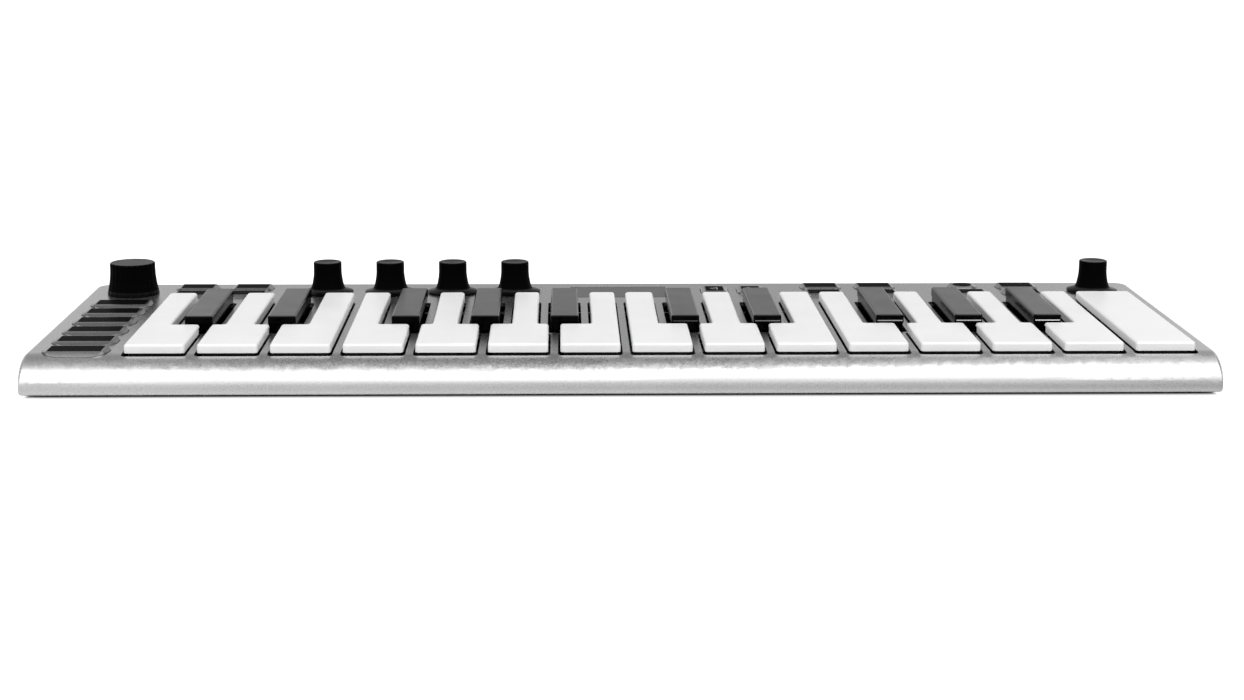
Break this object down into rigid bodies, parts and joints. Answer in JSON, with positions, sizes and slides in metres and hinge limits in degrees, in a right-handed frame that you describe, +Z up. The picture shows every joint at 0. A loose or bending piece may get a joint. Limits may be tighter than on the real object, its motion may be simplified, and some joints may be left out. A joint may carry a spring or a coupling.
{
  "type": "midi keyboard",
  "caption": "Slim USB music keyboard with full-size low-profile piano keys in a satin aluminium plate, rotary knobs, a small display and raised push buttons along the left side and the rear.",
  "frame": {"origin": "middle of the footprint, on the table plane under the rubber feet", "axes": "+X to the player's right along the row of keys, +Y away from the player towards the knobs, +Z up"},
  "size_m": [0.388, 0.136, 0.0248],
  "materials": {
    "plate_aluminium": "fine bead-blasted, clear anodised",
    "button_silver": "fine bead-blasted cap with a gloss black inlay",
    "key_white": "satin white cap on a black lever",
    "key_black": "satin top, gloss sides",
    "knob_black": "soft satin black",
    "cover_plastic": "fine texture",
    "frame_plastic": "moulded",
    "rod_steel": "ground",
    "circuit_board": "solder mask",
    "component_black": "moulded, metal cans",
    "display_glass": "smoked, anti-glare",
    "foot_rubber": "matte",
    "screw_steel": "black zinc"
  },
  "bodies": {
    "root": {"top_shell": "plate_aluminium", "base_cover": "cover_plastic", "key_frame": "frame_plastic", "key_pivot_rod": "rod_steel", "circuit_boards": "circuit_board", "board_components": "component_black", "display_lens": "display_glass", "rubber_feet": "foot_rubber", "cover_screws": "screw_steel"},
    "white_key_c1": {"white_key_c1": "key_white"},
    "white_key_d1": {"white_key_d1": "key_white"},
    "white_key_e1": {"white_key_e1": "key_white"},
    "white_key_f1": {"white_key_f1": "key_white"},
    "white_key_g1": {"white_key_g1": "key_white"},
    "white_key_a1": {"white_key_a1": "key_white"},
    "white_key_b1": {"white_key_b1": "key_white"},
    "white_key_c2": {"white_key_c2": "key_white"},
    "white_key_d2": {"white_key_d2": "key_white"},
    "white_key_e2": {"white_key_e2": "key_white"},
    "white_key_f2": {"white_key_f2": "key_white"},
    "white_key_g2": {"white_key_g2": "key_white"},
    "white_key_a2": {"white_key_a2": "key_white"},
    "white_key_b2": {"white_key_b2": "key_white"},
    "white_key_c3": {"white_key_c3": "key_white"},
    "black_key_cs1": {"black_key_cs1": "key_black"},
    "black_key_ds1": {"black_key_ds1": "key_black"},
    "black_key_fs1": {"black_key_fs1": "key_black"},
    "black_key_gs1": {"black_key_gs1": "key_black"},
    "black_key_as1": {"black_key_as1": "key_black"},
    "black_key_cs2": {"black_key_cs2": "key_black"},
    "black_key_ds2": {"black_key_ds2": "key_black"},
    "black_key_fs2": {"black_key_fs2": "key_black"},
    "black_key_gs2": {"black_key_gs2": "key_black"},
    "black_key_as2": {"black_key_as2": "key_black"},
    "left_button_1": {"left_button_1": "button_silver"},
    "left_button_2": {"left_button_2": "button_silver"},
    "left_button_3": {"left_button_3": "button_silver"},
    "left_button_4": {"left_button_4": "button_silver"},
    "left_button_5": {"left_button_5": "button_silver"},
    "left_button_6": {"left_button_6": "button_silver"},
    "mode_button_1_rear": {"mode_button_1_rear": "button_silver"},
    "mode_button_1_front": {"mode_button_1_front": "button_silver"},
    "mode_button_2_rear": {"mode_button_2_rear": "button_silver"},
    "mode_button_2_front": {"mode_button_2_front": "button_silver"},
    "arrow_button_left": {"arrow_button_left": "button_silver"},
    "arrow_button_right": {"arrow_button_right": "button_silver"},
    "function_button_1_rear": {"function_button_1_rear": "button_silver"},
    "function_button_1_front": {"function_button_1_front": "button_silver"},
    "function_button_2_rear": {"function_button_2_rear": "button_silver"},
    "function_button_2_front": {"function_button_2_front": "button_silver"},
    "round_button": {"round_button": "button_silver"},
    "function_button_3_front": {"function_button_3_front": "button_silver"},
    "function_button_4_rear": {"function_button_4_rear": "button_silver"},
    "function_button_4_front": {"function_button_4_front": "button_silver"},
    "select_knob": {"select_knob": "knob_black"},
    "value_knob_1": {"value_knob_1": "knob_black"},
    "value_knob_2": {"value_knob_2": "knob_black"},
    "value_knob_3": {"value_knob_3": "knob_black"},
    "value_knob_4": {"value_knob_4": "knob_black"},
    "volume_knob": {"volume_knob": "knob_black"}
  },
  "joints": [
    {"name": "volume_knob_turn", "type": "hinge", "parent": "root", "child": "volume_knob", "pos_m": [0.1772, 0.0496, 0.013], "axis": [0, 0, 1], "range_deg": [-150, 150]},
    {"name": "select_knob_turn", "type": "hinge", "parent": "root", "child": "select_knob", "pos_m": [-0.1775, 0.048, 0.013], "axis": [0, 0, 1], "continuous": true},
    {"name": "value_knob_1_turn", "type": "hinge", "parent": "root", "child": "value_knob_1", "pos_m": [-0.1063, 0.0493, 0.013], "axis": [0, 0, 1], "continuous": true},
    {"name": "white_key_c1_press", "type": "hinge", "parent": "root", "child": "white_key_c1", "pos_m": [0, 0.035, 0.008], "axis": [1, 0, 0], "range_deg": [0, 1.8], "stiffness_Nm_per_rad": 1, "springref_deg": -2.58},
    {"name": "black_key_cs1_press", "type": "hinge", "parent": "root", "child": "black_key_cs1", "pos_m": [0, 0.035, 0.008], "axis": [1, 0, 0], "range_deg": [0, 2.2], "stiffness_Nm_per_rad": 1, "springref_deg": -2.58},
    {"name": "white_key_d1_press", "type": "hinge", "parent": "root", "child": "white_key_d1", "pos_m": [0, 0.035, 0.008], "axis": [1, 0, 0], "range_deg": [0, 1.8], "stiffness_Nm_per_rad": 1, "springref_deg": -2.58},
    {"name": "white_key_g1_press", "type": "hinge", "parent": "root", "child": "white_key_g1", "pos_m": [0, 0.035, 0.008], "axis": [1, 0, 0], "range_deg": [0, 1.8], "stiffness_Nm_per_rad": 1, "springref_deg": -2.58},
    {"name": "white_key_c3_press", "type": "hinge", "parent": "root", "child": "white_key_c3", "pos_m": [0, 0.035, 0.008], "axis": [1, 0, 0], "range_deg": [0, 1.8], "stiffness_Nm_per_rad": 1, "springref_deg": -2.58},
    {"name": "left_button_1_press", "type": "slide", "parent": "root", "child": "left_button_1", "axis": [0, 0, -1], "range_m": [0, 0.0006], "stiffness_N_per_m": 200, "springref_m": -0.002},
    {"name": "mode_button_1_rear_press", "type": "slide", "parent": "root", "child": "mode_button_1_rear", "axis": [0, 0, -1], "range_m": [0, 0.0006], "stiffness_N_per_m": 200, "springref_m": -0.002},
    {"name": "arrow_button_left_press", "type": "slide", "parent": "root", "child": "arrow_button_left", "axis": [0, 0, -1], "range_m": [0, 0.0006], "stiffness_N_per_m": 200, "springref_m": -0.002},
    {"name": "round_button_press", "type": "slide", "parent": "root", "child": "round_button", "axis": [0, 0, -1], "range_m": [0, 0.0006], "stiffness_N_per_m": 200, "springref_m": -0.002},
    {"name": "function_button_4_front_press", "type": "slide", "parent": "root", "child": "function_button_4_front", "axis": [0, 0, -1], "range_m": [0, 0.0006], "stiffness_N_per_m": 200, "springref_m": -0.002},
    {"name": "value_knob_2_turn", "type": "hinge", "parent": "root", "child": "value_knob_2", "pos_m": [-0.0833, 0.0493, 0.013], "axis": [0, 0, 1], "continuous": true},
    {"name": "value_knob_3_turn", "type": "hinge", "parent": "root", "child": "value_knob_3", "pos_m": [-0.0603, 0.0493, 0.013], "axis": [0, 0, 1], "continuous": true},
    {"name": "value_knob_4_turn", "type": "hinge", "parent": "root", "child": "value_knob_4", "pos_m": [-0.0374, 0.0493, 0.013], "axis": [0, 0, 1], "continuous": true},
    {"name": "white_key_e1_press", "type": "hinge", "parent": "root", "child": "white_key_e1", "pos_m": [0, 0.035, 0.008], "axis": [1, 0, 0], "range_deg": [0, 1.8], "stiffness_Nm_per_rad": 1, "springref_deg": -2.58},
    {"name": "white_key_f1_press", "type": "hinge", "parent": "root", "child": "white_key_f1", "pos_m": [0, 0.035, 0.008], "axis": [1, 0, 0], "range_deg": [0, 1.8], "stiffness_Nm_per_rad": 1, "springref_deg": -2.58},
    {"name": "white_key_a1_press", "type": "hinge", "parent": "root", "child": "white_key_a1", "pos_m": [0, 0.035, 0.008], "axis": [1, 0, 0], "range_deg": [0, 1.8], "stiffness_Nm_per_rad": 1, "springref_deg": -2.58},
    {"name": "white_key_b1_press", "type": "hinge", "parent": "root", "child": "white_key_b1", "pos_m": [0, 0.035, 0.008], "axis": [1, 0, 0], "range_deg": [0, 1.8], "stiffness_Nm_per_rad": 1, "springref_deg": -2.58},
    {"name": "white_key_c2_press", "type": "hinge", "parent": "root", "child": "white_key_c2", "pos_m": [0, 0.035, 0.008], "axis": [1, 0, 0], "range_deg": [0, 1.8], "stiffness_Nm_per_rad": 1, "springref_deg": -2.58},
    {"name": "white_key_d2_press", "type": "hinge", "parent": "root", "child": "white_key_d2", "pos_m": [0, 0.035, 0.008], "axis": [1, 0, 0], "range_deg": [0, 1.8], "stiffness_Nm_per_rad": 1, "springref_deg": -2.58},
    {"name": "white_key_e2_press", "type": "hinge", "parent": "root", "child": "white_key_e2", "pos_m": [0, 0.035, 0.008], "axis": [1, 0, 0], "range_deg": [0, 1.8], "stiffness_Nm_per_rad": 1, "springref_deg": -2.58},
    {"name": "white_key_f2_press", "type": "hinge", "parent": "root", "child": "white_key_f2", "pos_m": [0, 0.035, 0.008], "axis": [1, 0, 0], "range_deg": [0, 1.8], "stiffness_Nm_per_rad": 1, "springref_deg": -2.58},
    {"name": "white_key_g2_press", "type": "hinge", "parent": "root", "child": "white_key_g2", "pos_m": [0, 0.035, 0.008], "axis": [1, 0, 0], "range_deg": [0, 1.8], "stiffness_Nm_per_rad": 1, "springref_deg": -2.58},
    {"name": "white_key_a2_press", "type": "hinge", "parent": "root", "child": "white_key_a2", "pos_m": [0, 0.035, 0.008], "axis": [1, 0, 0], "range_deg": [0, 1.8], "stiffness_Nm_per_rad": 1, "springref_deg": -2.58},
    {"name": "white_key_b2_press", "type": "hinge", "parent": "root", "child": "white_key_b2", "pos_m": [0, 0.035, 0.008], "axis": [1, 0, 0], "range_deg": [0, 1.8], "stiffness_Nm_per_rad": 1, "springref_deg": -2.58},
    {"name": "black_key_ds1_press", "type": "hinge", "parent": "root", "child": "black_key_ds1", "pos_m": [0, 0.035, 0.008], "axis": [1, 0, 0], "range_deg": [0, 2.2], "stiffness_Nm_per_rad": 1, "springref_deg": -2.58},
    {"name": "black_key_fs1_press", "type": "hinge", "parent": "root", "child": "black_key_fs1", "pos_m": [0, 0.035, 0.008], "axis": [1, 0, 0], "range_deg": [0, 2.2], "stiffness_Nm_per_rad": 1, "springref_deg": -2.58},
    {"name": "black_key_gs1_press", "type": "hinge", "parent": "root", "child": "black_key_gs1", "pos_m": [0, 0.035, 0.008], "axis": [1, 0, 0], "range_deg": [0, 2.2], "stiffness_Nm_per_rad": 1, "springref_deg": -2.58},
    {"name": "black_key_as1_press", "type": "hinge", "parent": "root", "child": "black_key_as1", "pos_m": [0, 0.035, 0.008], "axis": [1, 0, 0], "range_deg": [0, 2.2], "stiffness_Nm_per_rad": 1, "springref_deg": -2.58},
    {"name": "black_key_cs2_press", "type": "hinge", "parent": "root", "child": "black_key_cs2", "pos_m": [0, 0.035, 0.008], "axis": [1, 0, 0], "range_deg": [0, 2.2], "stiffness_Nm_per_rad": 1, "springref_deg": -2.58},
    {"name": "black_key_ds2_press", "type": "hinge", "parent": "root", "child": "black_key_ds2", "pos_m": [0, 0.035, 0.008], "axis": [1, 0, 0], "range_deg": [0, 2.2], "stiffness_Nm_per_rad": 1, "springref_deg": -2.58},
    {"name": "black_key_fs2_press", "type": "hinge", "parent": "root", "child": "black_key_fs2", "pos_m": [0, 0.035, 0.008], "axis": [1, 0, 0], "range_deg": [0, 2.2], "stiffness_Nm_per_rad": 1, "springref_deg": -2.58},
    {"name": "black_key_gs2_press", "type": "hinge", "parent": "root", "child": "black_key_gs2", "pos_m": [0, 0.035, 0.008], "axis": [1, 0, 0], "range_deg": [0, 2.2], "stiffness_Nm_per_rad": 1, "springref_deg": -2.58},
    {"name": "black_key_as2_press", "type": "hinge", "parent": "root", "child": "black_key_as2", "pos_m": [0, 0.035, 0.008], "axis": [1, 0, 0], "range_deg": [0, 2.2], "stiffness_Nm_per_rad": 1, "springref_deg": -2.58},
    {"name": "left_button_2_press", "type": "slide", "parent": "root", "child": "left_button_2", "axis": [0, 0, -1], "range_m": [0, 0.0006], "stiffness_N_per_m": 200, "springref_m": -0.002},
    {"name": "left_button_3_press", "type": "slide", "parent": "root", "child": "left_button_3", "axis": [0, 0, -1], "range_m": [0, 0.0006], "stiffness_N_per_m": 200, "springref_m": -0.002},
    {"name": "left_button_4_press", "type": "slide", "parent": "root", "child": "left_button_4", "axis": [0, 0, -1], "range_m": [0, 0.0006], "stiffness_N_per_m": 200, "springref_m": -0.002},
    {"name": "left_button_5_press", "type": "slide", "parent": "root", "child": "left_button_5", "axis": [0, 0, -1], "range_m": [0, 0.0006], "stiffness_N_per_m": 200, "springref_m": -0.002},
    {"name": "left_button_6_press", "type": "slide", "parent": "root", "child": "left_button_6", "axis": [0, 0, -1], "range_m": [0, 0.0006], "stiffness_N_per_m": 200, "springref_m": -0.002},
    {"name": "mode_button_1_front_press", "type": "slide", "parent": "root", "child": "mode_button_1_front", "axis": [0, 0, -1], "range_m": [0, 0.0006], "stiffness_N_per_m": 200, "springref_m": -0.002},
    {"name": "mode_button_2_rear_press", "type": "slide", "parent": "root", "child": "mode_button_2_rear", "axis": [0, 0, -1], "range_m": [0, 0.0006], "stiffness_N_per_m": 200, "springref_m": -0.002},
    {"name": "mode_button_2_front_press", "type": "slide", "parent": "root", "child": "mode_button_2_front", "axis": [0, 0, -1], "range_m": [0, 0.0006], "stiffness_N_per_m": 200, "springref_m": -0.002},
    {"name": "arrow_button_right_press", "type": "slide", "parent": "root", "child": "arrow_button_right", "axis": [0, 0, -1], "range_m": [0, 0.0006], "stiffness_N_per_m": 200, "springref_m": -0.002},
    {"name": "function_button_1_rear_press", "type": "slide", "parent": "root", "child": "function_button_1_rear", "axis": [0, 0, -1], "range_m": [0, 0.0006], "stiffness_N_per_m": 200, "springref_m": -0.002},
    {"name": "function_button_1_front_press", "type": "slide", "parent": "root", "child": "function_button_1_front", "axis": [0, 0, -1], "range_m": [0, 0.0006], "stiffness_N_per_m": 200, "springref_m": -0.002},
    {"name": "function_button_2_rear_press", "type": "slide", "parent": "root", "child": "function_button_2_rear", "axis": [0, 0, -1], "range_m": [0, 0.0006], "stiffness_N_per_m": 200, "springref_m": -0.002},
    {"name": "function_button_2_front_press", "type": "slide", "parent": "root", "child": "function_button_2_front", "axis": [0, 0, -1], "range_m": [0, 0.0006], "stiffness_N_per_m": 200, "springref_m": -0.002},
    {"name": "function_button_3_front_press", "type": "slide", "parent": "root", "child": "function_button_3_front", "axis": [0, 0, -1], "range_m": [0, 0.0006], "stiffness_N_per_m": 200, "springref_m": -0.002},
    {"name": "function_button_4_rear_press", "type": "slide", "parent": "root", "child": "function_button_4_rear", "axis": [0, 0, -1], "range_m": [0, 0.0006], "stiffness_N_per_m": 200, "springref_m": -0.002}
  ]
}
